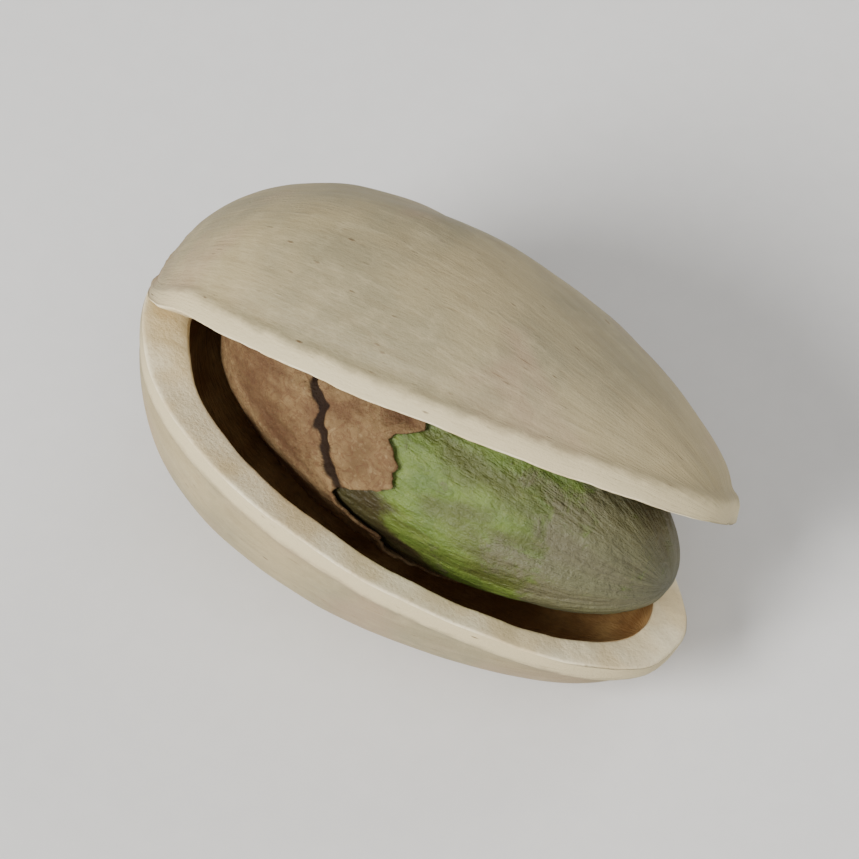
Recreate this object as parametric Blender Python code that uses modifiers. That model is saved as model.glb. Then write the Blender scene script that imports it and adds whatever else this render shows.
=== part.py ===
"""A pistachio in its shell: a hard shell whose two valves gape, a papery seed skin and a kernel.

The nut is shaped in its own frame: +X runs from the stem end to the tip, the front seam looks
along -Y and the upper valve is +Z. A point of a surface is given by two angles: phi runs from 0 at
the stem end to pi at the tip, and theta runs from 0 at the front seam, over the upper valve, to pi
at the back seam.
"""

import math

import bmesh
import bpy
from mathutils import Matrix, Vector

MM = 0.001

# The closed shell
SHELL_LENGTH = 22.0 * MM
SHELL_WIDTH = 13.2 * MM
SHELL_DEPTH = 12.0 * MM
WALL = 0.9 * MM
STEM_WALL = 1.7 * MM
TIP_WALL = 0.8 * MM
EGG_WIDTH = 0.15
EGG_DEPTH = 0.27
BEAK = 0.5 * MM
BEAK_POWER = 9
KEEL = 0.03
KEEL_SPREAD = 0.28
SCAR_DEPTH = 0.35 * MM
SCAR_SPREAD = 0.2

# The gape: the valves swing about a line from the mouth's corner in the front seam to the end of
# the split in the back seam, and bend over a short way next to it, more broadly on their backs
GAPE = math.radians(32)
FRONT_CORNER = math.radians(11.5)
BACK_CORNER = math.radians(108)
SWING_RUN = 5.0 * MM
GIVE_BEHIND = 5.0 * MM
GIVE_BEFORE = 6.0 * MM
CRACK = 0.05 * MM

# The kernel
KERNEL_LENGTH = 17.7 * MM
KERNEL_WIDTH = 8.4 * MM
KERNEL_DEPTH = 7.5 * MM
KERNEL_EGG_WIDTH = 0.0
KERNEL_EGG_DEPTH = 0.1
KERNEL_SHIFT = 1.0 * MM
KERNEL_SAG = math.radians(4.5)
KERNEL_SLIDE = 0.3 * MM
KERNEL_LIFT = 0.45 * MM
WRINKLE = 0.025
CLEFT = 0.06
CLEFT_SPREAD = 0.16
CLEFT_START = 1.7
CLEFT_RUN = 1.0

# The kernel's folds: the strength of each wave, how often it runs round, how it runs along, and
# where it starts
FOLDS = ((0.5, 5, 1.1, 0.6), (0.3, 9, -2.1, 1.9), (0.2, 3, 4.0, 0.0))

# The skin of the kernel, torn off round the tip
SKIN = 0.2 * MM
SKIN_GAP = 0.22 * MM
SKIN_FRONT = math.radians(86)
SKIN_BACK = math.radians(124)

# The torn edge of the skin: the size of each wave, how often it runs round, and where it starts
TEARS = ((0.09, 4, 0.8), (0.05, 9, 2.0))

# How the nut lies
REST_ROLL = math.radians(38)
REST_PITCH = math.radians(4)
FLAT_CUT = 0.1 * MM

SHELL_SEGMENTS = 48
SHELL_RINGS = 30
KERNEL_SEGMENTS = 32
KERNEL_RINGS = 22
SKIN_RINGS = 14
ON_SEAM = 1e-6

SHELL_COLOUR = (0.56, 0.47, 0.34)
SHELL_ROUGHNESS = 0.6
KERNEL_COLOUR = (0.20, 0.26, 0.06)
KERNEL_ROUGHNESS = 0.55
SKIN_COLOUR = (0.24, 0.12, 0.08)
SKIN_ROUGHNESS = 0.7


def clear_scene():
    for obj in list(bpy.data.objects):
        bpy.data.objects.remove(obj)


def material(name, colour, roughness):
    made = bpy.data.materials.new(name)
    made.use_nodes = True
    shader = made.node_tree.nodes["Principled BSDF"]
    shader.inputs["Base Color"].default_value = (*colour, 1)
    shader.inputs["Roughness"].default_value = roughness
    shader.inputs["Metallic"].default_value = 0
    return made


def smooth_step(share):
    share = min(max(share, 0.0), 1.0)
    return share * share * (3 - 2 * share)


def angles(co):
    """The angles phi and theta of a point of the unit sphere, whose upper pole becomes the stem end."""
    return math.acos(max(-1.0, min(1.0, co.z))), math.atan2(co.y, co.x)


def near_seam(theta, spread):
    """1 on the front and back seam, fading to 0 on the valves."""
    return math.exp(-((math.sin(theta) / spread) ** 2))


def ovoid(phi, theta, length, width, depth, egg_width=EGG_WIDTH, egg_depth=EGG_DEPTH):
    """A point of an egg that is fuller at the stem end."""
    half_width = width / 2 * math.sin(phi) * (1 + egg_width * math.cos(phi))
    half_depth = depth / 2 * math.sin(phi) * (1 + egg_depth * math.cos(phi))
    return Vector((
        -length / 2 * math.cos(phi),
        -half_width * math.cos(theta),
        half_depth * math.sin(theta),
    ))


def shell_point(phi, theta):
    """A point of the outside of the closed shell, with its keel, its beak and its stem scar."""
    keel = 1 + KEEL * near_seam(theta, KEEL_SPREAD)
    point = ovoid(phi, theta, SHELL_LENGTH - BEAK, SHELL_WIDTH * keel, SHELL_DEPTH)
    point.x += BEAK * ((1 - math.cos(phi)) / 2) ** BEAK_POWER
    point.x += SCAR_DEPTH * math.exp(-((phi / SCAR_SPREAD) ** 2))
    return point


def wrinkles(phi, theta):
    """Shallow folds that run along the kernel, and fade at its ends."""
    folds = 0
    for size, turns, along, start in FOLDS:
        folds += size * math.sin(turns * theta + along * phi + start)
    return 1 + WRINKLE * folds * math.sin(phi)


def kernel_point(phi, theta, grow=0.0):
    """A point of the kernel without its cleft, or of a surface that lies the distance grow outside it."""
    fold = wrinkles(phi, theta)
    width = (KERNEL_WIDTH + 2 * grow) * fold
    depth = (KERNEL_DEPTH + 2 * grow) * fold
    length = KERNEL_LENGTH + 2 * grow
    point = ovoid(phi, theta, length, width, depth, KERNEL_EGG_WIDTH, KERNEL_EGG_DEPTH)
    point.x += KERNEL_SHIFT
    return point


def cleft_point(phi, theta):
    """A point of the bare kernel, with the cleft between its two halves open towards the tip."""
    depth = CLEFT * near_seam(theta, CLEFT_SPREAD) * smooth_step((phi - CLEFT_START) / CLEFT_RUN)
    point = kernel_point(phi, theta)
    point.y *= 1 - depth
    point.z *= 1 - depth
    return point


def skin_edge(theta):
    """The phi at which the skin is torn off, further along the kernel at the back than at the front."""
    share = (1 - math.cos(theta)) / 2
    tear = sum(size * math.sin(turns * theta + start) for size, turns, start in TEARS)
    return SKIN_FRONT + (SKIN_BACK - SKIN_FRONT) * share + tear


def inner_point(phi, theta):
    """A point of the inside of the closed shell."""
    length = SHELL_LENGTH - BEAK - STEM_WALL - TIP_WALL
    point = ovoid(phi, theta, length, SHELL_WIDTH - 2 * WALL, SHELL_DEPTH - 2 * WALL)
    point.x += (STEM_WALL - TIP_WALL) / 2
    return point


def swing_line():
    """The mouth's front corner, the way from there to its back corner, and the way to the tip."""
    corner = shell_point(FRONT_CORNER, 0)
    along = (shell_point(BACK_CORNER, math.pi) - corner).normalized()
    return corner, along, along.cross(Vector((0, 0, 1)))


def swing(angle):
    """The turn about the line between the corners that lifts the tip by this angle."""
    corner, along, _ = swing_line()
    at_corner = Matrix.Translation(corner)
    return at_corner @ Matrix.Rotation(-angle, 4, along) @ at_corner.inverted()


def seed_move():
    """The seed leans a little into the lower valve, hangs from its stem end and looks out of the mouth."""
    _, _, to_tip = swing_line()
    shift = KERNEL_SLIDE * to_tip + Vector((0, 0, KERNEL_LIFT))
    return Matrix.Translation(shift) @ swing(-KERNEL_SAG)


def swung_open(point, side):
    """Where a point of the closed shell goes as its valve opens, the upper on side 1, the lower on -1."""
    corner, along, to_tip = swing_line()
    arm = point - corner
    reach = arm.dot(to_tip)
    turn = side * GAPE / 2 * smooth_step(reach / SWING_RUN)
    give = side * GAPE / 2 * smooth_step((reach + GIVE_BEHIND) / (GIVE_BEHIND + GIVE_BEFORE))
    new_reach = reach * math.cos(turn) - arm.z * math.sin(give)
    new_height = reach * math.sin(turn) + arm.z * math.cos(turn)
    return corner + along * arm.dot(along) + to_tip * new_reach + Vector((0, 0, new_height))


def new_object(name, mesh_data, made_of, collection, parent):
    obj = bpy.data.objects.new(name, mesh_data)
    mesh_data.materials.append(made_of)
    mesh_data.shade_smooth()
    collection.objects.link(obj)
    obj.parent = parent
    return obj


def sphere_mesh(segments, rings):
    made = bmesh.new()
    bmesh.ops.create_uvsphere(made, u_segments=segments, v_segments=rings, radius=1)
    return made


def finished(made, name):
    data = bpy.data.meshes.new(name)
    made.to_mesh(data)
    made.free()
    return data


def on_open_seam(vert):
    """Whether a point of the sphere lies on the seam where it has split."""
    phi, theta = angles(vert.co)
    split_from = FRONT_CORNER if math.cos(theta) > 0 else BACK_CORNER
    return abs(vert.co.y) < ON_SEAM and phi > split_from


def split_seam(made):
    """Parts the seam of the sphere wherever the nut gapes."""
    seam = [edge for edge in made.edges if all(abs(vert.co.y) < ON_SEAM for vert in edge.verts)]
    parted = [edge for edge in seam if any(on_open_seam(vert) for vert in edge.verts)]
    bmesh.ops.split_edges(made, edges=parted)


def wall_places(vert):
    """Where the two faces of the wall lie at a point of the sphere, once the valves have swung open."""
    phi, theta = angles(vert.co)
    side = 1 if sum(face.calc_center_median().y for face in vert.link_faces) > 0 else -1
    lip = Vector((0, 0, side * CRACK * math.sin(phi) if on_open_seam(vert) else 0))
    outside = swung_open(shell_point(phi, theta), side)
    inside = swung_open(inner_point(phi, theta), side)
    return outside + lip, inside + lip


def add_shell(collection, parent):
    """The shell: a sheet that is slit along the seam and one inside it, joined along the slit."""
    made = sphere_mesh(SHELL_SEGMENTS, SHELL_RINGS)
    split_seam(made)
    outer = made.verts[:]
    lips = [edge for edge in made.edges if edge.is_boundary]
    copies = bmesh.ops.duplicate(made, geom=outer + made.edges[:] + made.faces[:])
    inner = {vert: copies["vert_map"][vert] for vert in outer}
    inner_faces = [item for item in copies["geom"] if isinstance(item, bmesh.types.BMFace)]
    bmesh.ops.reverse_faces(made, faces=inner_faces)
    places = {vert: wall_places(vert) for vert in outer}
    for vert, (outside, inside) in places.items():
        vert.co = outside
        inner[vert].co = inside
    for edge in lips:
        one, two = edge.verts
        made.faces.new((one, two, inner[two], inner[one]))
    bmesh.ops.recalc_face_normals(made, faces=made.faces[:])
    made_of = material("shell", SHELL_COLOUR, SHELL_ROUGHNESS)
    return new_object("shell", finished(made, "shell"), made_of, collection, parent)


def add_kernel(collection, parent):
    made = sphere_mesh(KERNEL_SEGMENTS, KERNEL_RINGS)
    for vert in made.verts:
        vert.co = cleft_point(*angles(vert.co))
    made_of = material("kernel", KERNEL_COLOUR, KERNEL_ROUGHNESS)
    return new_object("kernel", finished(made, "kernel"), made_of, collection, parent)


def add_seed_skin(collection, parent):
    """The skin: a cup round the kernel's stem end, whose last ring becomes the torn edge."""
    made = sphere_mesh(KERNEL_SEGMENTS, SKIN_RINGS)
    last_ring = math.pi * (SKIN_RINGS - 1) / SKIN_RINGS
    far_pole = min(made.verts, key=lambda vert: vert.co.z)
    bmesh.ops.delete(made, geom=[far_pole], context="VERTS")
    for vert in made.verts:
        phi, theta = angles(vert.co)
        vert.co = kernel_point(phi / last_ring * skin_edge(theta), theta, SKIN_GAP)
    made_of = material("seed_skin", SKIN_COLOUR, SKIN_ROUGHNESS)
    obj = new_object("seed_skin", finished(made, "seed_skin"), made_of, collection, parent)
    solid = obj.modifiers.new("skin", "SOLIDIFY")
    solid.thickness = SKIN
    solid.offset = 1
    return obj


def lay_down(nut, shell):
    """Turns the nut to its resting pose and sets it with the middle of its underside at the origin."""
    nut.rotation_euler = (-REST_ROLL, REST_PITCH, 0)
    bpy.context.view_layer.update()
    points = [nut.matrix_world @ vert.co for vert in shell.data.vertices]
    low = [min(point[i] for point in points) for i in range(3)]
    high = [max(point[i] for point in points) for i in range(3)]
    nut.location = (-(low[0] + high[0]) / 2, -(low[1] + high[1]) / 2, -low[2] - FLAT_CUT)
    bpy.context.view_layer.update()


def flatten_underside(shell, helpers):
    """Cuts the small flat spot that the nut rests on."""
    bpy.ops.mesh.primitive_cube_add(size=1)
    cutter = bpy.context.object
    cutter.name = "floor_cutter"
    for collection in cutter.users_collection:
        collection.objects.unlink(cutter)
    helpers.objects.link(cutter)
    cutter.scale = (SHELL_LENGTH, SHELL_LENGTH, SHELL_LENGTH)
    cutter.location = (0, 0, -SHELL_LENGTH / 2)
    cutter.display_type = "WIRE"
    cutter.hide_render = True
    cut = shell.modifiers.new("flat spot", "BOOLEAN")
    cut.operation = "DIFFERENCE"
    cut.solver = "EXACT"
    cut.object = cutter


def new_empty(name, collection, parent=None):
    empty = bpy.data.objects.new(name, None)
    collection.objects.link(empty)
    empty.parent = parent
    return empty


def main():
    clear_scene()
    parts = bpy.data.collections.new("pistachio")
    helpers = bpy.data.collections.new("cutters")
    bpy.context.scene.collection.children.link(parts)
    bpy.context.scene.collection.children.link(helpers)
    nut = new_empty("nut", parts)
    shell = add_shell(parts, nut)
    seed = new_empty("seed", parts, nut)
    seed.matrix_basis = seed_move()
    add_kernel(parts, seed)
    add_seed_skin(parts, seed)
    lay_down(nut, shell)
    flatten_underside(shell, helpers)


main()
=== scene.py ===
"""The looks of the pistachio: grained shell, wrinkled skin and green kernel, on a pale floor in soft light.

The nut is shaped in its own frame, in millimetres: +X runs from the stem end to the tip, the front seam
looks along -Y and the upper valve is +Z. A point of a surface is given by two angles: phi runs from 0 at the
stem end to pi at the tip, and theta from 0 at the front seam, over the upper valve, to pi at the back seam.
"""

import math

import bmesh
import bpy
import numpy as np
from mathutils import Euler, Matrix, Vector, noise


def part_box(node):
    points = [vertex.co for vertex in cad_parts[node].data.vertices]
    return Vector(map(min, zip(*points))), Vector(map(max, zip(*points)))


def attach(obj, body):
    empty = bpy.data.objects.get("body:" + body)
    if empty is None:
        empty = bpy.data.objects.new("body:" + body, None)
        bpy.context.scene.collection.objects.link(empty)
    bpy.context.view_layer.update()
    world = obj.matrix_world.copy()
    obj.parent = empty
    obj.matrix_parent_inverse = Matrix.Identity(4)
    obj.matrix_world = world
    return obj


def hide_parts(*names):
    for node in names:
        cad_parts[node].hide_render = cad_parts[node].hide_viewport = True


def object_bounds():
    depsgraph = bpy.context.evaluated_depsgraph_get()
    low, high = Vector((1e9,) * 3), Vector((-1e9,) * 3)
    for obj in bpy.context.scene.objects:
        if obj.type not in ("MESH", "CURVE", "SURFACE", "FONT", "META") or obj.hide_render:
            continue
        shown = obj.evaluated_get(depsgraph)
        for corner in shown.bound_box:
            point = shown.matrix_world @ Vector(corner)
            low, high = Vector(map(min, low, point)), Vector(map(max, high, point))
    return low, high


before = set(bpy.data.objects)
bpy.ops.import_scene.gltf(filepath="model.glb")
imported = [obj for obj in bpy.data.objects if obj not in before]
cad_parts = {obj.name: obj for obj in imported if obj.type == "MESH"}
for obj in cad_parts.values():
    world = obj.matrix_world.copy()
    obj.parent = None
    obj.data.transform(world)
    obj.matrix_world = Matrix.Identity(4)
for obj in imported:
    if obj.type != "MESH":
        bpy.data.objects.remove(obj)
cad_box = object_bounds()

MM = 0.001

# The shell, as in the solids
SHELL_LENGTH = 22.0
SHELL_WIDTH = 13.2
SHELL_DEPTH = 12.0
WALL = 0.9
STEM_WALL = 1.7
TIP_WALL = 0.8
EGG_WIDTH = 0.15
EGG_DEPTH = 0.27
BEAK = 0.5
BEAK_POWER = 9
KEEL = 0.03
KEEL_SPREAD = 0.28
SCAR_DEPTH = 0.35
SCAR_SPREAD = 0.2
GAPE = math.radians(32)
FRONT_CORNER = math.radians(11.5)
BACK_CORNER = math.radians(108)
SWING_RUN = 5.0
GIVE_BEHIND = 5.0
GIVE_BEFORE = 6.0
CRACK = 0.05

# The kernel and its skin, as in the solids
KERNEL_LENGTH = 17.7
KERNEL_WIDTH = 8.4
KERNEL_DEPTH = 7.5
KERNEL_EGG_WIDTH = 0.0
KERNEL_EGG_DEPTH = 0.1
KERNEL_SHIFT = 1.0
KERNEL_SAG = math.radians(4.5)
KERNEL_SLIDE = 0.3
KERNEL_LIFT = 0.45
WRINKLE = 0.025
FOLDS = ((0.5, 5, 1.1, 0.6), (0.3, 9, -2.1, 1.9), (0.2, 3, 4.0, 0.0))
CLEFT = 0.06
CLEFT_SPREAD = 0.16
CLEFT_START = 1.7
CLEFT_RUN = 1.0
SKIN_FRONT = math.radians(86)
SKIN_BACK = math.radians(124)
TEARS = ((0.09, 4, 0.8), (0.05, 9, 2.0))

# How the nut lies, as in the solids
REST_ROLL = math.radians(38)
REST_PITCH = math.radians(4)

# The solid kernel's mesh, whose box tells where the nut lies
SOLID_SEGMENTS = 32
SOLID_RINGS = 22

# The fine meshes
SHELL_SEGMENTS = 248
SHELL_RINGS = 156
KERNEL_SEGMENTS = 280
KERNEL_RINGS = 200
SKIN_RINGS = 150
ON_SEAM = 1e-6
NORMAL_STEP = 0.004

# The places of the shell's materials in its list
LIP_MATERIAL = 1
INSIDE_MATERIAL = 2

# The lips: where their rows lie across the wall, the rounding of their edges, and how far they stray
LIP_ROWS = (0.0, 0.03, 0.08, 0.2, 0.4, 0.6, 0.8, 0.92, 0.97, 1.0)
LIP_ROUND = 0.07
LIP_BACK = 0.03
LIP_RUN = 1.2
LIP_WAVE = 0.06
LIP_WAVE_SPAN = 1.7
LIP_RIPPLE = 0.02
LIP_RIPPLE_SPAN = 0.5
LIP_FIBRES = 0.02
LIP_FIBRE_SPAN = 0.35

# The relief of the shell: heights and spans in millimetres. A grain is given by how fine it is round the nut
# and along it, and the ends and the scar by angles from the pole.
LUMPS = 0.10
LUMP_SPAN = 5.0
DENTS = 0.035
DENT_SPAN = 1.7
GRAIN = 0.022
GRAIN_FINENESS = (7, 0.16)
FINE_GRAIN = 0.012
FINE_GRAIN_FINENESS = (22, 0.3)
RIDGE = 0.11
RIDGE_WIDTH = 0.75
CLOSED_RIDGE_WIDTH = 0.12
RIDGE_EDGE = 0.35
GROOVE = 0.06
GROOVE_AT = 1.2
GROOVE_SPREAD = 0.3
SHELL_ENDS = 0.25
SCAR_EDGE = 0.22
SCAR_RING = 0.12
SCAR_RING_SPREAD = 0.06
SCAR_RING_UNEVEN = 0.8
SCAR_RING_SPAN = 0.5
SCAR_ROUGH = 0.07
SCAR_ROUGH_SPAN = 0.22
SCAR_ROUGH_FADE = 0.05
INSIDE_WAVE = 0.04
INSIDE_WAVE_SPAN = 2.5

# How fine the grain is that the materials read, round the nut and along it
TEXTURE_FINENESS = (1, 0.1)

# The visible kernel and skin, as distances from the solid kernel
KERNEL_GROW = 0.22
SKIN_GROW = 0.27
SKIN_THICKNESS = 0.1

# The wrinkles of the kernel, and the depth at which the painted shade in their hollows is full
BROAD_WRINKLES = 0.10
BROAD_FINENESS = (3.2, 0.3)
NARROW_WRINKLES = 0.07
NARROW_FINENESS = (8.0, 0.55)
KERNEL_PITS = 0.02
KERNEL_PIT_SPAN = 0.7
KERNEL_ENDS = 0.5
FULL_HOLLOW_SHADE = 0.1

# The skin: its fine folds, the curl of its torn edge, and the teeth of the tear
CREPE = 0.05
CREPE_SPAN = 0.9
CREASES = 0.04
CREASE_SPAN = 0.45
CURL = 0.12
CURL_FROM = 0.95
CURL_LEAST = 0.6
CURL_SPAN = 0.8
TEETH = 0.035
TEETH_FINENESS = 5
FINE_TEETH = 0.02
FINE_TEETH_FINENESS = 20

# The crack across the skin: its place along the kernel, its lean, and the angles between which it runs
CRACK_AT = -1.7
CRACK_LEAN = 3.2
CRACK_FROM = -0.5
CRACK_TO = 1.3
CRACK_FADE = 0.3

# The crack's sideways stray, its width with the flare at its lower end, its depth and its raised edges
CRACK_STRAY = ((0.22, 0.7, "crack bends"), (0.1, 0.25, "crack jags"))
CRACK_THIN = 0.06
CRACK_WIDE = 0.16
CRACK_FLARE = 0.3
FLARE_FROM = 0.45
FLARE_RUN = 0.9
CRACK_UNEVEN = 0.9
CRACK_UNEVEN_SPAN = 0.5
CRACK_DEPTH = 0.1
CRACK_EDGE_LIFT = 0.05
CRACK_EDGE_AT = 1.7
CRACK_EDGE_SPREAD = 0.3

# The painted dark shade on the kernel beside the tear, low in the mouth: how far it runs from there, and the
# angles where it fades
SHADE_RUN = 0.42
SHADE_TOP = 0.06
SHADE_FADE = 0.45

# The noises, each with its own number, so that they differ
NOISES = {
    "lumps": 1, "dents": 2, "grain": 3, "fine grain": 4, "scar ring": 5, "inside": 6,
    "lip waves": 7, "lip ripples": 8, "lip fibres": 9, "scar": 10,
    "broad wrinkles": 11, "narrow wrinkles": 12, "kernel pits": 13,
    "teeth": 21, "fine teeth": 22, "crepe": 23, "creases": 24, "curl": 25,
    "crack bends": 26, "crack jags": 27, "crack width": 28,
}
NOISE_SHIFT = Vector((17.3, -9.1, 5.7))

# The view of the photograph, told from the nut: above its middle plane, round to its tip, and how far the
# picture is turned. The width of the frame is in metres.
CAMERA_ELEVATION = math.radians(24)
CAMERA_YAW = math.radians(20)
CAMERA_ROLL = math.radians(23)
CAMERA_LENS = 250
CAMERA_CLIP = 0.01
FRAME_WIDTH = 0.0290

# The floor's width and the lights: name, place, size in metres and watts
FLOOR_SIZE = 3
LIGHTS = (
    ("key", (-0.12, -0.36, 0.3), 0.24, 3.3),
    ("fill", (0.25, -0.1, 0.4), 0.4, 0.7),
    ("back", (0.1, 0.4, 0.25), 0.3, 0.6),
)
STUDIO_COLOUR = (0.96, 0.97, 1.0, 1)
STUDIO_STRENGTH = 0.32


def smooth_step(share):
    share = np.clip(share, 0, 1)
    return share * share * (3 - 2 * share)


def bell(away, spread):
    """1 where away is 0, fading to 0 on both sides."""
    return np.exp(-((away / spread) ** 2))


def near_seam(theta, spread):
    """1 on the front and back seam, fading to 0 on the valves."""
    return bell(np.sin(theta), spread)


def between_ends(phi, run):
    """0 at the two poles and 1 further than run from them."""
    return smooth_step(phi / run) * smooth_step((math.pi - phi) / run)


def ovoid(phi, theta, length, width, depth, egg_width=EGG_WIDTH, egg_depth=EGG_DEPTH):
    """Points of an egg that is fuller at the stem end."""
    half_width = width / 2 * np.sin(phi) * (1 + egg_width * np.cos(phi))
    half_depth = depth / 2 * np.sin(phi) * (1 + egg_depth * np.cos(phi))
    return np.stack([
        -length / 2 * np.cos(phi),
        -half_width * np.cos(theta),
        half_depth * np.sin(theta),
    ], axis=-1)


def shell_points(phi, theta):
    """Points of the outside of the closed shell, before its relief."""
    keel = 1 + KEEL * near_seam(theta, KEEL_SPREAD)
    points = ovoid(phi, theta, SHELL_LENGTH - BEAK, SHELL_WIDTH * keel, SHELL_DEPTH)
    points[..., 0] += BEAK * ((1 - np.cos(phi)) / 2) ** BEAK_POWER
    points[..., 0] += SCAR_DEPTH * bell(phi, SCAR_SPREAD)
    return points


def inner_points(phi, theta):
    """Points of the inside of the closed shell."""
    length = SHELL_LENGTH - BEAK - STEM_WALL - TIP_WALL
    points = ovoid(phi, theta, length, SHELL_WIDTH - 2 * WALL, SHELL_DEPTH - 2 * WALL)
    points[..., 0] += (STEM_WALL - TIP_WALL) / 2
    return points


def kernel_points(phi, theta, grow):
    """Points that lie the distance grow outside the kernel."""
    folds = sum(size * np.sin(turns * theta + along * phi + start) for size, turns, along, start in FOLDS)
    fold = 1 + WRINKLE * folds * np.sin(phi)
    width = (KERNEL_WIDTH + 2 * grow) * fold
    depth = (KERNEL_DEPTH + 2 * grow) * fold
    length = KERNEL_LENGTH + 2 * grow
    points = ovoid(phi, theta, length, width, depth, KERNEL_EGG_WIDTH, KERNEL_EGG_DEPTH)
    points[..., 0] += KERNEL_SHIFT
    return points


def normals_of(surface, phi, theta, *more):
    """The outward normals of a surface given as a function of phi, theta and what more it takes."""
    step = NORMAL_STEP
    phi = np.clip(phi, 2 * step, math.pi - 2 * step)
    along = surface(phi + step, theta, *more) - surface(phi - step, theta, *more)
    across = surface(phi, theta + step, *more) - surface(phi, theta - step, *more)
    normals = np.cross(along, across)
    return normals / np.linalg.norm(normals, axis=-1, keepdims=True)


def noise_at(places, name):
    """Smooth noise between -1 and 1 at each place."""
    shift = NOISE_SHIFT * NOISES[name]
    return np.array([noise.noise(Vector(place) + shift) for place in places])


def grain_places(points, theta, fineness):
    """Places for a noise that is drawn out along the nut and runs together at its ends."""
    round_nut, along_nut = fineness
    return np.stack([
        np.cos(theta) * round_nut,
        np.sin(theta) * round_nut,
        points[:, 0] * along_nut,
    ], axis=-1)


def swing_line():
    """The mouth's front corner, the way from there to its back corner, and the way to the tip."""
    corner = shell_points(np.array(FRONT_CORNER), np.array(0.0))
    along = shell_points(np.array(BACK_CORNER), np.array(math.pi)) - corner
    along /= np.linalg.norm(along)
    return corner, along, np.cross(along, (0, 0, 1))


def reach(points):
    """How far points lie from the line between the corners, on the tip's side of it."""
    corner, _, to_tip = swing_line()
    return (points - corner) @ to_tip


def split_share(points):
    """0 where the seam is closed, and 1 well inside its split part."""
    return smooth_step(reach(points) / SWING_RUN)


def swung_open(points, side):
    """Where points of the closed shell go as their valves open, the upper on side 1, the lower on -1."""
    corner, along, to_tip = swing_line()
    arm = points - corner
    ahead = arm @ to_tip
    turn = side * GAPE / 2 * smooth_step(ahead / SWING_RUN)
    give = side * GAPE / 2 * smooth_step((ahead + GIVE_BEHIND) / (GIVE_BEHIND + GIVE_BEFORE))
    new_ahead = ahead * np.cos(turn) - arm[:, 2] * np.sin(give)
    new_height = ahead * np.sin(turn) + arm[:, 2] * np.cos(turn)
    opened = corner + np.outer(arm @ along, along) + np.outer(new_ahead, to_tip)
    opened[:, 2] = new_height
    return opened


def moved(places, move):
    """Places in the nut's frame, in millimetres, brought to the row's frame, still in millimetres."""
    matrix = np.array(move)
    return places @ matrix[:3, :3].T + matrix[:3, 3]


def sphere_mesh(segments, rings):
    made = bmesh.new()
    bmesh.ops.create_uvsphere(made, u_segments=segments, v_segments=rings, radius=1)
    return made


def sphere_angles(verts):
    """The angles phi and theta of points of the unit sphere, whose upper pole becomes the stem end."""
    places = np.array([vert.co for vert in verts])
    return np.arccos(np.clip(places[:, 2], -1, 1)), np.arctan2(places[:, 1], places[:, 0])


def mesh_from(made, name, places):
    """A mesh whose points go to these places, given in millimetres."""
    data = bpy.data.meshes.new(name)
    made.to_mesh(data)
    made.free()
    data.vertices.foreach_set("co", (places * MM).astype(np.float32).ravel())
    data.shade_smooth()
    data.update()
    return data


def add_value(data, name, values):
    attribute = data.attributes.new(name, "FLOAT", "POINT")
    attribute.data.foreach_set("value", values.astype(np.float32))


def add_vector(data, name, vectors):
    attribute = data.attributes.new(name, "FLOAT_VECTOR", "POINT")
    attribute.data.foreach_set("vector", vectors.astype(np.float32).ravel())


def new_piece(name, data, node):
    piece = bpy.data.objects.new(name, data)
    bpy.context.scene.collection.objects.link(piece)
    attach(piece, "root")
    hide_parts(node)
    return piece


def on_open_seam(vert):
    """Whether a point of the sphere lies on the seam where it has split."""
    phi = math.acos(max(-1.0, min(1.0, vert.co.z)))
    split_from = FRONT_CORNER if vert.co.x > 0 else BACK_CORNER
    return abs(vert.co.y) < ON_SEAM and phi > split_from


def on_split(edge):
    """Whether an edge of the sphere lies along the seam where it has split."""
    along_seam = all(abs(vert.co.y) < ON_SEAM for vert in edge.verts)
    return along_seam and any(on_open_seam(vert) for vert in edge.verts)


def side_of(vert):
    """1 for a point of the upper valve and -1 for one of the lower, also where the two meet at the slit."""
    return 1 if sum(face.calc_center_median().y for face in vert.link_faces) > 0 else -1


def add_inside(made, outer):
    """Copies the sphere for the shell's inside, turned inside out. Returns each outside point's copy."""
    copies = bmesh.ops.duplicate(made, geom=outer + made.edges[:] + made.faces[:])
    faces = [item for item in copies["geom"] if isinstance(item, bmesh.types.BMFace)]
    bmesh.ops.reverse_faces(made, faces=faces)
    for face in faces:
        face.material_index = INSIDE_MATERIAL
    return {vert: copies["vert_map"][vert] for vert in outer}


def add_lips(made, lips, inner, facts):
    """Joins outside and inside at the slit's edges with rows of faces. Returns the points of those edges."""
    rows = {}
    for vert in dict.fromkeys(vert for edge in lips for vert in edge.verts):
        middle = [made.verts.new(vert.co) for _ in LIP_ROWS[1:-1]]
        side = facts[vert][1]
        facts.update({new: (vert, side, share) for new, share in zip(middle, LIP_ROWS[1:-1])})
        rows[vert] = [vert, *middle, inner[vert]]
    for edge in lips:
        one, two = edge.verts
        for here in range(len(LIP_ROWS) - 1):
            corners = (rows[one][here], rows[two][here], rows[two][here + 1], rows[one][here + 1])
            made.faces.new(corners).material_index = LIP_MATERIAL
    return set(rows)


def slit_sphere():
    """A sphere slit along the open seam, with an inside, and with faces that join the two at the lips.

    Returns the mesh, for each point its outside point, its side and its depth in the wall, and the outside
    points on the lips.
    """
    made = sphere_mesh(SHELL_SEGMENTS, SHELL_RINGS)
    bmesh.ops.split_edges(made, edges=[edge for edge in made.edges if on_split(edge)])
    outer = made.verts[:]
    lips = [edge for edge in made.edges if edge.is_boundary]
    facts = {vert: (vert, side_of(vert), 0.0) for vert in outer}
    inner = add_inside(made, outer)
    facts.update({inner[vert]: (vert, facts[vert][1], 1.0) for vert in outer})
    on_lip = add_lips(made, lips, inner, facts)
    bmesh.ops.recalc_face_normals(made, faces=made.faces[:])
    made.verts.index_update()
    return made, [facts[vert] for vert in made.verts], on_lip


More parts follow.
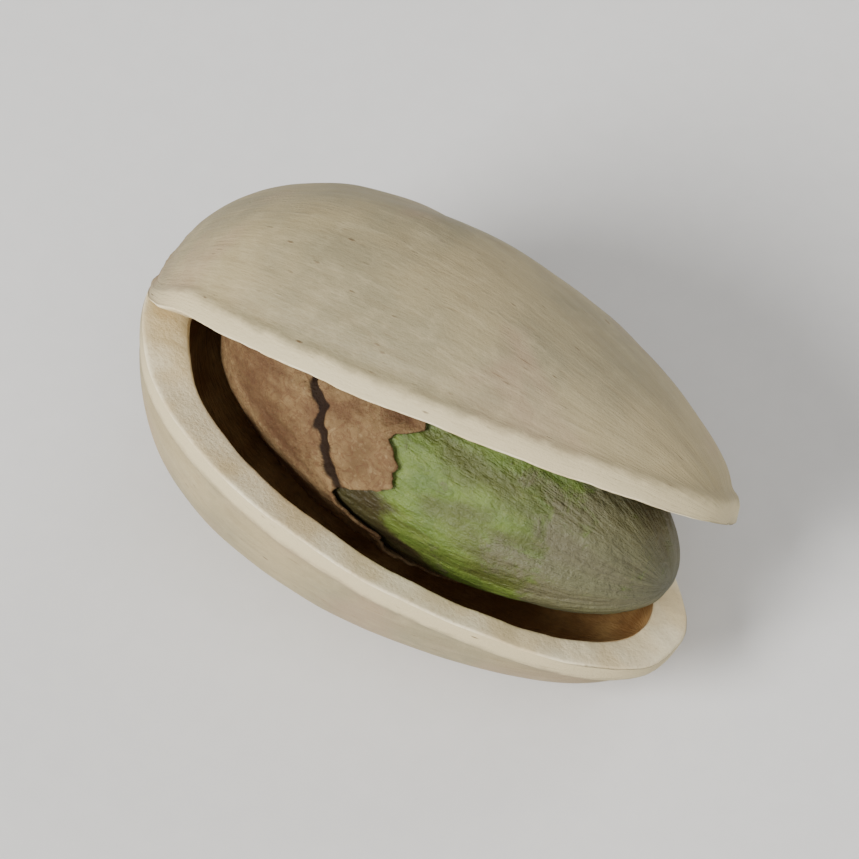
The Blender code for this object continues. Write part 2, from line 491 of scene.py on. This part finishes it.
def seam_relief(points):
    """The ridge along the seam, broad where it has split, and the groove beside it there."""
    away = np.abs(points[:, 2])
    split = split_share(points)
    width = CLOSED_RIDGE_WIDTH + (RIDGE_WIDTH - CLOSED_RIDGE_WIDTH) * split
    ridge = RIDGE * (1 - smooth_step((away - width) / RIDGE_EDGE))
    return ridge - GROOVE * bell(away - GROOVE_AT, GROOVE_SPREAD) * split


def scar_relief(points, phi):
    """The uneven ring round the stem scar, and the scar's rough middle."""
    uneven = 1 + SCAR_RING_UNEVEN * noise_at(points / SCAR_RING_SPAN, "scar ring")
    ring = SCAR_RING * bell(phi - SCAR_EDGE, SCAR_RING_SPREAD) * uneven
    in_scar = 1 - smooth_step((phi - SCAR_EDGE) / SCAR_ROUGH_FADE)
    return ring + SCAR_ROUGH * noise_at(points / SCAR_ROUGH_SPAN, "scar") * in_scar


def shell_relief(points, phi, theta):
    """How far the outside of the shell stands out from its smooth form."""
    lumps = LUMPS * noise_at(points / LUMP_SPAN, "lumps")
    dents = DENTS * noise_at(points / DENT_SPAN, "dents")
    grain = GRAIN * noise_at(grain_places(points, theta, GRAIN_FINENESS), "grain")
    fine = FINE_GRAIN * noise_at(grain_places(points, theta, FINE_GRAIN_FINENESS), "fine grain")
    lengthwise = (grain + fine + seam_relief(points)) * between_ends(phi, SHELL_ENDS)
    return lumps + dents + lengthwise + scar_relief(points, phi)


def lip_recess(share):
    """How far the lip draws back from the seam's plane, to round its two edges."""
    edge = np.minimum(share, 1 - share) * WALL
    short = np.clip(LIP_ROUND - edge, 0, LIP_ROUND)
    return LIP_ROUND - np.sqrt(LIP_ROUND ** 2 - short ** 2)


def lip_draw(phi, theta, points):
    """How far the shell next to the split seam has drawn back from it, in slow waves."""
    seam = shell_points(phi, np.where(np.cos(theta) > 0, 0.0, math.pi))
    parted = smooth_step(reach(seam) / LIP_RUN)
    wave = LIP_WAVE * noise_at(seam / LIP_WAVE_SPAN, "lip waves")
    ripple = LIP_RIPPLE * noise_at(seam / LIP_RIPPLE_SPAN, "lip ripples")
    near = 1 - smooth_step(np.abs(points[:, 2]) / LIP_RUN)
    return (CRACK * np.sin(phi) + LIP_BACK + wave + ripple) * parted * near


def shell_places(facts, on_lip):
    """Where the shell's points lie in the nut's frame, their angles and their places on the smooth shell."""
    outer = [fact[0] for fact in facts]
    phi, theta = sphere_angles(outer)
    side = np.array([fact[1] for fact in facts], float)
    share = np.array([fact[2] for fact in facts])
    smooth = shell_points(phi, theta)
    relief = shell_relief(smooth, phi, theta)
    outside = smooth + relief[:, None] * normals_of(shell_points, phi, theta)
    inside = inner_points(phi, theta)
    wave = INSIDE_WAVE * noise_at(inside / INSIDE_WAVE_SPAN, "inside")
    inside += wave[:, None] * normals_of(inner_points, phi, theta)
    places = outside + (inside - outside) * share[:, None]
    lips = np.array([vert in on_lip for vert in outer])
    open_here = lips * smooth_step(reach(smooth) / LIP_RUN)
    fibres = LIP_FIBRES * noise_at(places / LIP_FIBRE_SPAN, "lip fibres") * (share > 0) * (share < 1)
    places[:, 2] += side * (lip_draw(phi, theta, smooth) + (lip_recess(share) + fibres) * open_here)
    return swung_open(places, side), phi, theta, smooth


def add_shell(move):
    made, facts, on_lip = slit_sphere()
    places, phi, theta, smooth = shell_places(facts, on_lip)
    places = moved(places, move)
    places[:, 2] = np.maximum(places[:, 2], 0)
    data = mesh_from(made, "nut_shell", places)
    add_vector(data, "grain", grain_places(smooth, theta, TEXTURE_FINENESS))
    add_value(data, "along", phi / math.pi)
    add_value(data, "seam", np.abs(smooth[:, 2]))
    add_value(data, "split", split_share(smooth))
    new_piece("nut_shell", data, "shell")
    for made_of in (shell_outside(), shell_lip(), shell_inside()):
        data.materials.append(made_of)


def seed_move(nut_move):
    """The seed leans a little into the lower valve, hangs from its stem end and looks out of the mouth."""
    corner, along, to_tip = swing_line()
    at_corner = Matrix.Translation(corner)
    sunk = at_corner @ Matrix.Rotation(KERNEL_SAG, 4, Vector(along)) @ at_corner.inverted()
    return nut_move @ Matrix.Translation(Vector(KERNEL_SLIDE * to_tip) + Vector((0, 0, KERNEL_LIFT))) @ sunk


def clefted(points, phi, theta):
    """Points of the kernel, drawn in where its two halves part towards the tip."""
    cleft = CLEFT * near_seam(theta, CLEFT_SPREAD) * smooth_step((phi - CLEFT_START) / CLEFT_RUN)
    drawn = points.copy()
    drawn[:, 1:] *= (1 - cleft)[:, None]
    return drawn


def kernel_relief(points, phi, theta):
    """The wrinkles of the kernel, drawn out along it."""
    broad = noise_at(grain_places(points, theta, BROAD_FINENESS), "broad wrinkles")
    narrow = noise_at(grain_places(points, theta, NARROW_FINENESS), "narrow wrinkles")
    pits = noise_at(points / KERNEL_PIT_SPAN, "kernel pits")
    wrinkles = BROAD_WRINKLES * broad - NARROW_WRINKLES * np.abs(narrow)
    return wrinkles * between_ends(phi, KERNEL_ENDS) + KERNEL_PITS * pits


def skin_edge(theta):
    """The phi at which the skin is torn off, with the fine teeth of the tear."""
    share = (1 - np.cos(theta)) / 2
    tear = sum(size * np.sin(turns * theta + start) for size, turns, start in TEARS)
    places = np.stack([np.cos(theta), np.sin(theta), np.zeros_like(theta)], axis=-1)
    teeth = TEETH * noise_at(places * TEETH_FINENESS, "teeth")
    fine_teeth = FINE_TEETH * noise_at(places * FINE_TEETH_FINENESS, "fine teeth")
    return SKIN_FRONT + (SKIN_BACK - SKIN_FRONT) * share + tear + teeth + fine_teeth


def kernel_painted_shade(phi, theta):
    """1 where dark shade is painted on the kernel beside the torn skin, low in the mouth, and 0 away from
    there.
    """
    beside = 1 - smooth_step((phi - skin_edge(theta)) / SHADE_RUN)
    return beside * smooth_step((SHADE_TOP - theta) / SHADE_FADE)


def add_kernel(move):
    made = sphere_mesh(KERNEL_SEGMENTS, KERNEL_RINGS)
    phi, theta = sphere_angles(made.verts)
    points = kernel_points(phi, theta, KERNEL_GROW)
    relief = kernel_relief(points, phi, theta)
    wrinkled = points + relief[:, None] * normals_of(kernel_points, phi, theta, KERNEL_GROW)
    data = mesh_from(made, "nut_kernel", moved(clefted(wrinkled, phi, theta), move))
    add_vector(data, "grain", grain_places(points, theta, TEXTURE_FINENESS))
    add_value(data, "along", phi / math.pi)
    # How deep each point lies in a hollow, for the painted shade there
    add_value(data, "hollow_shade", np.clip(-relief / FULL_HOLLOW_SHADE, -1, 1))
    # The mask of the painted dark shade beside the tear, low in the mouth
    add_value(data, "painted_shade", kernel_painted_shade(phi, theta))
    new_piece("nut_kernel", data, "kernel")
    data.materials.append(kernel_green())


def skin_crack(points, theta):
    """A crack across the skin in the mouth, and its raised edges: each 1 at its middle, 0 away from it."""
    stray = sum(size * noise_at(points / span, name) for size, span, name in CRACK_STRAY)
    across = points[:, 0] - CRACK_AT + CRACK_LEAN * theta + stray
    span = smooth_step((theta - CRACK_FROM) / CRACK_FADE) * smooth_step((CRACK_TO - theta) / CRACK_FADE)
    width = CRACK_THIN + CRACK_WIDE * span + CRACK_FLARE * smooth_step((FLARE_FROM - theta) / FLARE_RUN)
    width *= 1 + CRACK_UNEVEN * noise_at(points / CRACK_UNEVEN_SPAN, "crack width")
    away = np.abs(across / width)
    edges = np.exp(-((away - CRACK_EDGE_AT) ** 2) / CRACK_EDGE_SPREAD)
    return np.exp(-(away ** 2)) * span, edges * span


def skin_cup():
    """An open cup for the skin: its mesh, its points' angles, and their share of the way to its edge."""
    made = sphere_mesh(KERNEL_SEGMENTS, SKIN_RINGS)
    far_pole = min(made.verts, key=lambda vert: vert.co.z)
    bmesh.ops.delete(made, geom=[far_pole], context="VERTS")
    sphere_phi, theta = sphere_angles(made.verts)
    share = sphere_phi / (math.pi * (SKIN_RINGS - 1) / SKIN_RINGS)
    return made, share * skin_edge(theta), theta, share


def add_seed_skin(move):
    """The skin: a torn cup, wrinkled with the kernel under it, given its thickness by Solidify."""
    made, phi, theta, share = skin_cup()
    points = kernel_points(phi, theta, SKIN_GROW)
    folds = kernel_relief(points, phi, theta)
    folds += CREPE * noise_at(points / CREPE_SPAN, "crepe")
    folds += CREASES * np.abs(noise_at(points / CREASE_SPAN, "creases"))
    at_edge = smooth_step((share - CURL_FROM) / (1 - CURL_FROM))
    curl = CURL * at_edge * (CURL_LEAST + noise_at(points / CURL_SPAN, "curl"))
    crack, crack_edges = skin_crack(points, theta)
    lift = folds + curl + CRACK_EDGE_LIFT * crack_edges - CRACK_DEPTH * crack
    shaped = points + lift[:, None] * normals_of(kernel_points, phi, theta, SKIN_GROW)
    data = mesh_from(made, "nut_seed_skin", moved(shaped, move))
    add_vector(data, "grain", grain_places(points, theta, TEXTURE_FINENESS))
    add_value(data, "along", phi / math.pi)
    # How deep each point of the skin lies in a hollow, for the painted shade there
    add_value(data, "hollow_shade", np.clip(-folds / FULL_HOLLOW_SHADE, -1, 1))
    # The crack's mask, for the painted shade in it
    add_value(data, "crack", crack)
    skin = new_piece("nut_seed_skin", data, "seed_skin")
    solid = skin.modifiers.new("thickness", "SOLIDIFY")
    solid.thickness = SKIN_THICKNESS * MM
    solid.offset = 1
    data.materials.append(skin_brown())


# The colour sockets of a mix node
MIX_ONE = 6
MIX_TWO = 7
MIX_RESULT = 2


class Tree:
    """A material's node tree, with short calls for the nodes used here."""

    def __init__(self, name):
        self.material = bpy.data.materials.new(name)
        self.material.use_nodes = True
        self.nodes = self.material.node_tree.nodes
        self.links = self.material.node_tree.links
        self.shader = self.nodes["Principled BSDF"]

    def put(self, socket, value):
        if isinstance(value, bpy.types.NodeSocket):
            self.links.new(value, socket)
        else:
            socket.default_value = value

    def read(self, name, output="Fac"):
        found = self.nodes.new("ShaderNodeAttribute")
        found.attribute_name = name
        return found.outputs[output]

    def place(self):
        """The point's place in millimetres."""
        place = self.nodes.new("ShaderNodeTexCoord").outputs["Object"]
        return self.scaled(place, (1 / MM, 1 / MM, 1 / MM))

    def scaled(self, vector, factors):
        scale = self.nodes.new("ShaderNodeVectorMath")
        scale.operation = "MULTIPLY"
        self.put(scale.inputs[0], vector)
        scale.inputs[1].default_value = factors
        return scale.outputs[0]

    def along_nut(self, stretch):
        """The lengthwise grain's place, finer or coarser along the nut by this factor."""
        return self.scaled(self.read("grain", "Vector"), (1, 1, stretch))

    def noise(self, vector, scale, detail=3, roughness=0.5, distortion=0):
        made = self.nodes.new("ShaderNodeTexNoise")
        self.put(made.inputs["Vector"], vector)
        made.inputs["Scale"].default_value = scale
        made.inputs["Detail"].default_value = detail
        made.inputs["Roughness"].default_value = roughness
        made.inputs["Distortion"].default_value = distortion
        return made.outputs["Fac"]

    def spots(self, settings):
        """Noise by place in millimetres."""
        return self.noise(self.place(), *settings)

    def fibres(self, settings):
        """Noise drawn out along the nut."""
        stretch, *rest = settings
        return self.noise(self.along_nut(stretch), *rest)

    def specks(self, settings):
        """The distance from the nearest of many points, drawn out along the nut."""
        stretch, scale = settings
        made = self.nodes.new("ShaderNodeTexVoronoi")
        self.put(made.inputs["Vector"], self.along_nut(stretch))
        made.inputs["Scale"].default_value = scale
        return made.outputs["Distance"]

    def step(self, value, low, high):
        """0 below low and 1 above high, or the other way round where low is above high."""
        made = self.nodes.new("ShaderNodeMapRange")
        made.interpolation_type = "SMOOTHSTEP"
        self.put(made.inputs["Value"], value)
        made.inputs["From Min"].default_value = min(low, high)
        made.inputs["From Max"].default_value = max(low, high)
        made.inputs["To Min"].default_value = 0 if low < high else 1
        made.inputs["To Max"].default_value = 1 if low < high else 0
        return made.outputs["Result"]

    def maths(self, operation, one, two=0.0):
        made = self.nodes.new("ShaderNodeMath")
        made.operation = operation
        self.put(made.inputs[0], one)
        self.put(made.inputs[1], two)
        return made.outputs[0]

    def plus(self, one, two):
        return self.maths("ADD", one, two)

    def minus(self, one, two):
        return self.maths("SUBTRACT", one, two)

    def times(self, one, two):
        return self.maths("MULTIPLY", one, two)

    def mix(self, share, one, two):
        made = self.nodes.new("ShaderNodeMix")
        made.data_type = "RGBA"
        self.put(made.inputs[0], share)
        self.put(made.inputs[MIX_ONE], one)
        self.put(made.inputs[MIX_TWO], two)
        return made.outputs[MIX_RESULT]

    def layer(self, colour, mask, layer, where=None):
        """The colour with a layer over it, where the layer's mask and a second mask show it."""
        low, high, share, over = layer
        shown = self.times(self.step(mask, low, high), share)
        if where is not None:
            shown = self.times(shown, where)
        return self.mix(shown, colour, over)

    def bump(self, height, depth, below=None):
        """The normal of a relief of this depth in millimetres, on top of the normal below it."""
        made = self.nodes.new("ShaderNodeBump")
        made.inputs["Distance"].default_value = depth * MM
        self.put(made.inputs["Height"], height)
        if below is not None:
            self.put(made.inputs["Normal"], below)
        return made.outputs["Normal"]

    def finish(self, colour, roughness, normal):
        self.put(self.shader.inputs["Base Color"], colour)
        self.put(self.shader.inputs["Roughness"], roughness)
        self.put(self.shader.inputs["Normal"], normal)
        return self.material


def linear(value):
    """A screen value from 0 to 255 as the linear value that a node holds."""
    value /= 255
    return value / 12.92 if value <= 0.04045 else ((value + 0.055) / 1.055) ** 2.4


def rgb(red, green, blue):
    return (linear(red), linear(green), linear(blue), 1)


# The noises of the materials: scale, detail, roughness and distortion. Those of lengthwise marks start with
# how fast they change along the nut.
SHELL_PATCHES = (0.17, 3)
SHELL_WARMTH = (0.2, 2, 0.5, 0.6)
SHELL_MOTTLE = (1.3, 4, 0.6)
SHELL_GRIT = (9, 3, 0.6)
SHELL_FIBRES = (0.3, 15, 4, 0.6)
SHELL_FINE_FIBRES = (0.28, 44, 4, 0.65)
SHELL_PORES = (0.5, 17)
SHELL_SCRATCHES = (0.12, 24)
LIP_SPECKLE = (7, 5, 0.6)
LIP_PATCHES = (0.5, 3)
INSIDE_PATCHES = (0.35, 4, 0.6)
INSIDE_STREAKS = (1, 18, 3, 0.6)
KERNEL_PATCHES = (0.4, 4, 0.6)
KERNEL_FLECKS = (2.6, 4, 0.6)
KERNEL_LINES = (0.5, 16, 4, 0.6, 0.6)
KERNEL_FILM = (0.7, 6, 0.7, 0.5)
KERNEL_GRIT = (3.2, 5, 0.6)
SKIN_PATCHES = (0.45, 4, 0.6)
SKIN_VEINS = (2, 9, 4, 0.6, 1.2)
SKIN_SPECKLE = (5, 4, 0.65)
SKIN_GRIT = (4.5, 5, 0.65)
FLOOR_GRAIN = (1.0, 2)

# The layers of colour: the mask's values at which each begins and is full, its share, and its colour
SHELL_BEIGE = rgb(172, 156, 116)
GREY_PATCHES = (0.38, 0.62, 1, rgb(150, 139, 106))
PINK_PATCHES = (0.5, 0.66, 0.5, rgb(170, 143, 114))
PALE_MOTTLE = (0.46, 0.72, 0.35, rgb(188, 173, 134))
DARK_FIBRES = (0.5, 0.7, 0.22, rgb(126, 108, 74))
LIGHT_FIBRES = (0.46, 0.3, 0.2, rgb(196, 182, 144))
FINE_FIBRES = (0.52, 0.72, 0.2, rgb(128, 104, 66))
PALE_SEAM_AND_HIGHLIGHT = (1.0, 0.5, 0.85, rgb(222, 205, 160))
SEAM_LINE = (0.16, 0.05, 0.6, rgb(120, 94, 58))
STEM_TINT = (0.2, 0.08, 0.5, rgb(146, 112, 68))
SCAR_BROWN = (0.105, 0.085, 0.8, rgb(112, 82, 48))
SCAR_DARK = (0.06, 0.035, 0.7, rgb(66, 46, 28))
PORES = (0.16, 0.05, 1, rgb(106, 82, 50))
SCRATCHES = (0.12, 0.04, 1, rgb(112, 88, 56))
LIP_CREAM = rgb(244, 230, 192)
LIP_SAND = (0.35, 0.65, 1, rgb(228, 208, 162))
LIP_SPECKS = (0.45, 0.75, 0.35, rgb(196, 168, 118))
INSIDE_TAN = rgb(190, 150, 96)
INSIDE_BROWN = (0.35, 0.65, 1, rgb(142, 100, 58))
DARK_STREAKS = (0.5, 0.7, 0.4, rgb(112, 78, 44))
LIGHT_GREEN = rgb(106, 124, 50)
DEEP_GREEN = (0.35, 0.65, 1, rgb(82, 102, 36))
PALE_FLECKS = (0.5, 0.75, 0.45, rgb(132, 142, 70))
DARK_LINES = (0.52, 0.7, 0.45, rgb(76, 82, 34))
OLIVE_HOLLOW_SHADE = (0.0, 0.8, 0.75, rgb(76, 76, 34))
FILM_GREY = rgb(100, 94, 70)
BROWN_PAINTED_SHADE = (0.75, 1.05, 0.85, rgb(58, 42, 28))
SKIN_BEIGE = rgb(140, 114, 79)
SKIN_RUSSET = (0.35, 0.65, 1, rgb(102, 79, 53))
SKIN_DUST = (0.5, 0.75, 0.4, rgb(166, 143, 106))
BROWN_VEINS = (0.05, 0.0, 0.55, rgb(100, 68, 48))
BROWN_HOLLOW_SHADE = (-0.1, 0.8, 0.65, rgb(88, 60, 42))
CRACK_PAINTED_SHADE = (0.2, 0.6, 0.95, rgb(30, 18, 12))
FLOOR_PALE = rgb(232, 230, 226)
FLOOR_DULL = rgb(226, 224, 220)

# How much the edge of the pale strip, partly painted highlight, strays with the mottle and the fibres, round
# a middle, and the scar's edge
STRIP_BY_MOTTLE = 0.7
STRIP_BY_FIBRES = 0.35
STRIP_MIDDLE = 0.52
SCAR_BY_MOTTLE = 0.05

# Where the mottle brings in the pores and the warm patches the scratches
PORES_SHOW = (0.42, 0.7)
SCRATCHES_SHOW = (0.4, 0.7)

# The parts of the shell's fine relief, and the distances from a pore's middle between which it rises
FIBRE_PART = 0.6
FINE_PART = 0.4
PORE_PART = 0.15
PORE_WALL = (0.05, 0.16)

# The kernel's film: how it thickens towards the tip, where it ends, and how it makes the painted shade's
# edge ragged
FILM_TOWARDS_TIP = (0.6, 0.78)
FILM_AT_TIP = 0.3
FILM_EDGE = (0.56, 0.74)
FILM_SHARE = 0.85
SHADE_BY_FILM = 0.8

# The depths of the fine relief in millimetres, and the roughness and shine of the surfaces
FIBRE_DEPTH = 0.07
GRIT_DEPTH = 0.02
SHELL_ROUGHNESS = 0.48
ROUGHNESS_BY_MOTTLE = 0.24
LIP_DEPTH = 0.03
LIP_ROUGHNESS = 0.6
INSIDE_DEPTH = 0.05
INSIDE_ROUGHNESS = 0.42
KERNEL_GRIT_DEPTH = 0.14
KERNEL_LINE_DEPTH = 0.08
KERNEL_FILM_DEPTH = 0.03
KERNEL_ROUGHNESS = 0.46
VEIN_MIDDLE = 0.5
SKIN_DEPTH = 0.12
SKIN_ROUGHNESS = 0.58
SKIN_SPECULAR = 0.12
FLOOR_DEPTH = 0.01
FLOOR_ROUGHNESS = 0.7


def shell_ground(tree, warm, mottle, fibres, fine):
    """Beige, greyer, pinker and paler in patches, with lengthwise fibres."""
    colour = tree.layer(SHELL_BEIGE, tree.spots(SHELL_PATCHES), GREY_PATCHES)
    colour = tree.layer(colour, warm, PINK_PATCHES)
    colour = tree.layer(colour, mottle, PALE_MOTTLE)
    colour = tree.layer(colour, fibres, DARK_FIBRES)
    colour = tree.layer(colour, fibres, LIGHT_FIBRES)
    return tree.layer(colour, fine, FINE_FIBRES)


def seam_colour(tree, colour, mottle, fibres):
    """A pale strip with an uneven edge along the split seam, partly the suture's paler colour and partly a
    painted highlight, and a thin dark line along the closed seam.
    """
    seam = tree.read("seam")
    split = tree.read("split")
    stray = tree.plus(tree.times(mottle, STRIP_BY_MOTTLE), tree.times(fibres, STRIP_BY_FIBRES))
    from_seam = tree.plus(seam, tree.minus(stray, STRIP_MIDDLE))
    # Partly the suture's paler colour and partly a painted highlight on the lit edge of the split seam
    colour = tree.layer(colour, from_seam, PALE_SEAM_AND_HIGHLIGHT, split)
    return tree.layer(colour, seam, SEAM_LINE, tree.minus(1.0, split))


def stem_colour(tree, colour, mottle):
    """The brown stem scar, dark in its middle, with a tint round it."""
    from_stem = tree.plus(tree.read("along"), tree.times(mottle, SCAR_BY_MOTTLE))
    for layer in (STEM_TINT, SCAR_BROWN, SCAR_DARK):
        colour = tree.layer(colour, from_stem, layer)
    return colour


def shell_outside():
    """Beige shell with lengthwise fibres, small pores and scratches, marks by its stem scar, and by its seam
    a pale strip that is partly painted highlight.
    """
    tree = Tree("shell_outside")
    warm = tree.spots(SHELL_WARMTH)
    mottle = tree.spots(SHELL_MOTTLE)
    fibres = tree.fibres(SHELL_FIBRES)
    fine = tree.fibres(SHELL_FINE_FIBRES)
    pores = tree.specks(SHELL_PORES)
    scratches = tree.specks(SHELL_SCRATCHES)
    colour = shell_ground(tree, warm, mottle, fibres, fine)
    colour = seam_colour(tree, colour, mottle, fibres)
    colour = stem_colour(tree, colour, mottle)
    colour = tree.layer(colour, pores, PORES, tree.step(mottle, *PORES_SHOW))
    colour = tree.layer(colour, scratches, SCRATCHES, tree.step(warm, *SCRATCHES_SHOW))
    height = tree.plus(tree.times(fibres, FIBRE_PART), tree.times(fine, FINE_PART))
    height = tree.plus(height, tree.times(tree.step(pores, *PORE_WALL), PORE_PART))
    normal = tree.bump(height, FIBRE_DEPTH)
    normal = tree.bump(tree.spots(SHELL_GRIT), GRIT_DEPTH, normal)
    roughness = tree.plus(SHELL_ROUGHNESS, tree.times(mottle, ROUGHNESS_BY_MOTTLE))
    return tree.finish(colour, roughness, normal)


def shell_lip():
    """The broken edge of the shell: pale cream, finely fibrous, a little browner in places."""
    tree = Tree("shell_lip")
    speckle = tree.spots(LIP_SPECKLE)
    colour = tree.layer(LIP_CREAM, tree.spots(LIP_PATCHES), LIP_SAND)
    colour = tree.layer(colour, speckle, LIP_SPECKS)
    return tree.finish(colour, LIP_ROUGHNESS, tree.bump(speckle, LIP_DEPTH))


def shell_inside():
    """The inside of the shell: smoother, tan, and browner in patches."""
    tree = Tree("shell_inside")
    streaks = tree.fibres(INSIDE_STREAKS)
    colour = tree.layer(INSIDE_TAN, tree.spots(INSIDE_PATCHES), INSIDE_BROWN)
    colour = tree.layer(colour, streaks, DARK_STREAKS)
    return tree.finish(colour, INSIDE_ROUGHNESS, tree.bump(streaks, INSIDE_DEPTH))


def kernel_green():
    """The kernel: green with flecks and dark lines, painted olive shade in its wrinkles' hollows, a grey
    film at its tip and painted dark shade by the tear.
    """
    tree = Tree("kernel_green")
    lines = tree.fibres(KERNEL_LINES)
    film = tree.spots(KERNEL_FILM)
    colour = tree.layer(LIGHT_GREEN, tree.spots(KERNEL_PATCHES), DEEP_GREEN)
    colour = tree.layer(colour, tree.spots(KERNEL_FLECKS), PALE_FLECKS)
    colour = tree.layer(colour, lines, DARK_LINES)
    # Painted olive shade in the hollows of the wrinkles
    colour = tree.layer(colour, tree.read("hollow_shade"), OLIVE_HOLLOW_SHADE)
    at_tip = tree.times(tree.step(tree.read("along"), *FILM_TOWARDS_TIP), FILM_AT_TIP)
    filmed = tree.step(tree.plus(film, at_tip), *FILM_EDGE)
    colour = tree.mix(tree.times(filmed, FILM_SHARE), colour, FILM_GREY)
    painted_shade = tree.plus(tree.read("painted_shade"), tree.times(film, SHADE_BY_FILM))
    # Painted dark shade low in the mouth beside the tear, its edge made ragged by the film
    colour = tree.layer(colour, painted_shade, BROWN_PAINTED_SHADE)
    normal = tree.bump(tree.spots(KERNEL_GRIT), KERNEL_GRIT_DEPTH)
    normal = tree.bump(lines, KERNEL_LINE_DEPTH, normal)
    normal = tree.bump(filmed, KERNEL_FILM_DEPTH, normal)
    return tree.finish(colour, KERNEL_ROUGHNESS, normal)


def skin_brown():
    """The skin: matt beige and russet, dusty, with darker veins, painted shade in its hollows and near-black
    painted shade in its crack.
    """
    tree = Tree("skin_brown")
    from_vein = tree.maths("ABSOLUTE", tree.minus(tree.fibres(SKIN_VEINS), VEIN_MIDDLE))
    colour = tree.layer(SKIN_BEIGE, tree.spots(SKIN_PATCHES), SKIN_RUSSET)
    colour = tree.layer(colour, tree.spots(SKIN_SPECKLE), SKIN_DUST)
    colour = tree.layer(colour, from_vein, BROWN_VEINS)
    # Painted brown shade in the hollows of the skin's folds
    colour = tree.layer(colour, tree.read("hollow_shade"), BROWN_HOLLOW_SHADE)
    # Near-black painted shade in the crack across the skin
    colour = tree.layer(colour, tree.read("crack"), CRACK_PAINTED_SHADE)
    tree.put(tree.shader.inputs["Specular IOR Level"], SKIN_SPECULAR)
    return tree.finish(colour, SKIN_ROUGHNESS, tree.bump(tree.spots(SKIN_GRIT), SKIN_DEPTH))


def floor_pale():
    tree = Tree("floor_pale")
    grain = tree.spots(FLOOR_GRAIN)
    colour = tree.mix(grain, FLOOR_PALE, FLOOR_DULL)
    return tree.finish(colour, FLOOR_ROUGHNESS, tree.bump(grain, FLOOR_DEPTH))


def find_nut_move():
    """How the nut lies in the frame: its turn is known, and the solid kernel's box gives its place."""
    turn = Euler((-REST_ROLL, REST_PITCH, 0)).to_matrix().to_4x4()
    rings = np.linspace(0, math.pi, SOLID_RINGS + 1)
    segments = np.linspace(0, math.tau, SOLID_SEGMENTS, endpoint=False)
    phi, theta = (grid.ravel() for grid in np.meshgrid(rings, segments))
    seed = moved(clefted(kernel_points(phi, theta, 0), phi, theta), seed_move(turn))
    low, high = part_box("kernel")
    middle = (np.array(low) + np.array(high)) / 2 / MM
    place = middle - (seed.min(0) + seed.max(0)) / 2
    return Matrix.Translation(place) @ turn


def add_floor():
    bpy.ops.mesh.primitive_plane_add(size=FLOOR_SIZE)
    floor = bpy.context.object
    floor.name = "floor"
    floor.data.materials.append(floor_pale())


def add_light(name, place, size, watts):
    data = bpy.data.lights.new(name, "AREA")
    data.shape = "DISK"
    data.size = size
    data.energy = watts
    light = bpy.data.objects.new(name, data)
    light.location = place
    light.rotation_euler = (-Vector(place)).to_track_quat("-Z", "Y").to_euler()
    bpy.context.scene.collection.objects.link(light)


def add_lights():
    for light in LIGHTS:
        add_light(*light)
    world = bpy.data.worlds.new("studio")
    world.use_nodes = True
    background = world.node_tree.nodes["Background"]
    background.inputs["Color"].default_value = STUDIO_COLOUR
    background.inputs["Strength"].default_value = STUDIO_STRENGTH
    bpy.context.scene.world = world


def add_camera(nut_move):
    """Looks at the nut from the front and above, as the photograph does, with its tip down to the right."""
    low, high = cad_box
    data = bpy.data.cameras.new("camera")
    data.lens = CAMERA_LENS
    data.clip_start = CAMERA_CLIP
    distance = FRAME_WIDTH * CAMERA_LENS / data.sensor_width
    turned = Matrix.Rotation(CAMERA_YAW, 3, "Z") @ Matrix.Rotation(math.pi / 2 - CAMERA_ELEVATION, 3, "X")
    turned = nut_move.to_3x3() @ turned @ Matrix.Rotation(CAMERA_ROLL, 3, "Z")
    camera = bpy.data.objects.new("camera", data)
    camera.location = (low + high) / 2 + turned @ Vector((0, 0, distance))
    camera.rotation_euler = turned.to_euler()
    bpy.context.scene.collection.objects.link(camera)
    bpy.context.scene.camera = camera


def main():
    nut_move = find_nut_move()
    add_camera(nut_move)
    add_shell(nut_move)
    add_kernel(seed_move(nut_move))
    add_seed_skin(seed_move(nut_move))
    add_floor()
    add_lights()


main()
